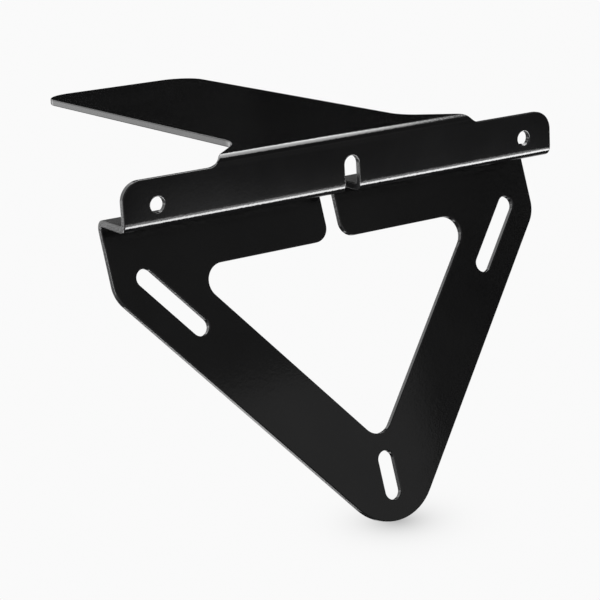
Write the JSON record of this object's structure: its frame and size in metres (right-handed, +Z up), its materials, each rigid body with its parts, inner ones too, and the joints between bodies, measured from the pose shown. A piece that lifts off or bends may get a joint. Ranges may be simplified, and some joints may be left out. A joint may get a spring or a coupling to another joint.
{
  "type": "number plate bracket",
  "caption": "Folded sheet-metal number plate bracket for a motorbike's tail: long top plate, eared cross strip, narrow ledge and a leaning triangular carrier with screw slots.",
  "frame": {"origin": "on the strip's rear face, midway between the two ear holes", "axes": "+X along the strip to the right as seen from behind the bike, +Y forward along the bike, +Z up"},
  "size_m": [0.18, 0.1992, 0.1387],
  "materials": {
    "black_coat": "satin black powder coat with a fine grain"
  },
  "bodies": {
    "root": {"bracket": "black_coat"}
  },
  "joints": []
}
